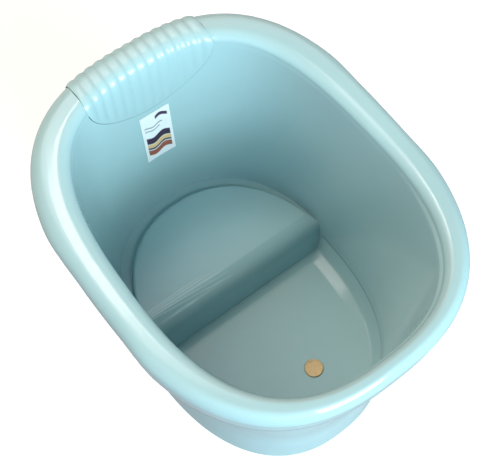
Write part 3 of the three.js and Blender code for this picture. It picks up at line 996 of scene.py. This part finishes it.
def rubber(name, colour):
    """Tan rubber with a matte, slightly dusty skin."""
    nodes = Nodes(name)
    cloud = nodes.noise(scale=220, detail=4)
    dusty = tuple(min(c * 1.15 + 0.02, 1) for c in colour)
    tint = nodes.mix(nodes.fade_in(cloud, *NOISE_RANGE), colour, dusty)
    nodes.join(tint, nodes.shader.inputs["Base Color"])
    nodes.join(nodes.remap(cloud, *NOISE_RANGE, 0.5, 0.68), nodes.shader.inputs["Roughness"])
    nodes.bump(nodes.noise(scale=900, detail=3), strength=0.2, distance=0.0004)
    return nodes.material


def wavy_band(nodes, across, up, centre, height, swing, turns, half, reach):
    """Mask of a wavy band that reaches equally far to both sides of its centre."""
    angle = nodes.math("MULTIPLY", across, 2 * math.pi * turns)
    middle = nodes.math("ADD", nodes.math("MULTIPLY", nodes.math("SINE", angle), swing), height)
    off = nodes.math("ABSOLUTE", nodes.math("SUBTRACT", up, middle))
    aside = nodes.math("ABSOLUTE", nodes.math("SUBTRACT", across, centre))
    band = nodes.fade_out(off, half, half + PRINT_BLUR)
    return nodes.product(band, nodes.fade_out(aside, reach, reach + PRINT_BLUR))


def printed_film(name):
    """Pale film with plain waves: a short dark one and thin grey ones above broad coloured ones."""
    nodes = Nodes(name)
    x, _, z = nodes.split(nodes.position)
    half, middle = LABEL["width"] / 2 * MM, LABEL["centre"] * MM
    across = nodes.remap(x, middle - half, middle + half, -0.5, 0.5)
    up = nodes.fade_in(z, LABEL["low"] * MM, LABEL["high"] * MM)
    tint = nodes.mix(nodes.noise(scale=160), FILM, tuple(c * 0.94 for c in FILM))
    for ink, *shape in PRINT:
        tint = nodes.mix(wavy_band(nodes, across, up, *shape), tint, ink)
    nodes.join(tint, nodes.shader.inputs["Base Color"])
    gloss = nodes.remap(nodes.noise(scale=90, detail=3), *NOISE_RANGE, 0.28, 0.42)
    nodes.join(gloss, nodes.shader.inputs["Roughness"])
    nodes.bump(nodes.noise(scale=240), strength=0.12, distance=0.0004)
    return nodes.material


def floor_material():
    """A pale light table, which glows a little so that its far corners stay white."""
    nodes = Nodes("studio_floor")
    nodes.join(nodes.mix(nodes.noise(scale=3), *TABLE_COLOURS), nodes.shader.inputs["Base Color"])
    nodes.shader.inputs["Roughness"].default_value = 0.9
    nodes.shader.inputs["Emission Color"].default_value = (*TABLE_GLOW["colour"], 1)
    nodes.shader.inputs["Emission Strength"].default_value = TABLE_GLOW["strength"]
    return nodes.material


# ---------------------------------------------------------------- studio


def studio_floor():
    """The light table: it takes shadows, but the tub neither mirrors it nor takes light from it."""
    signs = ((-1, -1), (1, -1), (1, 1), (-1, 1))
    corners = [(TABLE_HALF * x, TABLE_HALF * y, 0) for x, y in signs]
    obj = mesh_object("studio_floor", corners, [(0, 1, 2, 3)])
    obj.data.materials.append(floor_material())
    obj.visible_diffuse = False
    obj.visible_glossy = False


def area_light(name, azimuth, elevation, size, power, colour):
    """A square lamp that faces the tub; azimuth 0 is in front of it and 90 on its right."""
    data = bpy.data.lights.new(name, "AREA")
    data.shape = "SQUARE"
    data.size = size * MM
    data.energy = power
    data.color = colour
    obj = bpy.data.objects.new(name, data)
    bpy.context.scene.collection.objects.link(obj)
    towards = direction(azimuth, elevation)
    obj.location = (Vector(LAMP_TARGET) + towards * LAMP_DISTANCE) * MM
    obj.rotation_euler = (-towards).to_track_quat("-Z", "Y").to_euler()
    obj.visible_glossy = name not in UNMIRRORED


def direction(azimuth, elevation):
    """Unit vector from the tub towards something at an azimuth and elevation in degrees."""
    azimuth, elevation = math.radians(azimuth), math.radians(elevation)
    level = math.cos(elevation)
    return Vector((math.sin(azimuth) * level, -math.cos(azimuth) * level, math.sin(elevation)))


def lights():
    """The lamps, and a dim sky with a paler horizon that the floor runs out into."""
    for name, settings in LAMPS.items():
        area_light(name, *settings)
    world = bpy.data.worlds.new("studio")
    bpy.context.scene.world = world
    world.use_nodes = True
    background = world.node_tree.nodes["Background"]
    ramp = world.node_tree.nodes.new("ShaderNodeValToRGB")
    colours = (HORIZON, (AMBIENT, AMBIENT, AMBIENT))
    for element, position, colour in zip(ramp.color_ramp.elements, HORIZON_BAND, colours):
        element.position = position
        element.color = (*colour, 1)
    height = world.node_tree.nodes.new("ShaderNodeSeparateXYZ")
    toward = world.node_tree.nodes.new("ShaderNodeTexCoord").outputs["Generated"]
    world.node_tree.links.new(toward, height.inputs["Vector"])
    world.node_tree.links.new(height.outputs["Z"], ramp.inputs["Fac"])
    world.node_tree.links.new(ramp.outputs["Color"], background.inputs["Color"])


def camera():
    """The camera, turned to look back along the direction that it lies in."""
    data = bpy.data.cameras.new("camera")
    data.sensor_width = CAMERA["sensor"]
    data.lens = CAMERA["lens"]
    obj = bpy.data.objects.new("camera", data)
    bpy.context.scene.collection.objects.link(obj)
    back = direction(CAMERA["azimuth"], CAMERA["elevation"])
    right = Vector((-back.y, back.x, 0)).normalized()
    up = back.cross(right)
    turn = Matrix((right, up, back)).transposed().to_4x4()
    obj.matrix_world = Matrix.Translation(Vector(CAMERA["place"]) * MM) @ turn
    bpy.context.scene.camera = obj


def dress(obj, material, body, node):
    """Gives a finished piece its material and body, and hides the CAD node it stands for."""
    obj.data.materials.clear()
    obj.data.materials.append(material)
    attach(obj, body)
    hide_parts(node)


bpy.context.scene.view_settings.view_transform = "Standard"
camera()
lights()
studio_floor()

tub = tub_body()
add_drain(tub)
tub_material = plastic("aqua_plastic", AQUA, roughness=0.08)
# The leg rest's plastic, with painted shade along its seam with the tub
rest_material = plastic("aqua_rest", AQUA, roughness=0.2, seam_shade=0.9)
dress(tub, tub_material, "tub", "tub_shell")
dress(leg_rest(), rest_material, "tub", "leg_rest_pad")
dress(plug(), rubber("tan_rubber", TAN), "plug", "drain_plug")
dress(label_film(), printed_film("label_print"), "tub", "label")
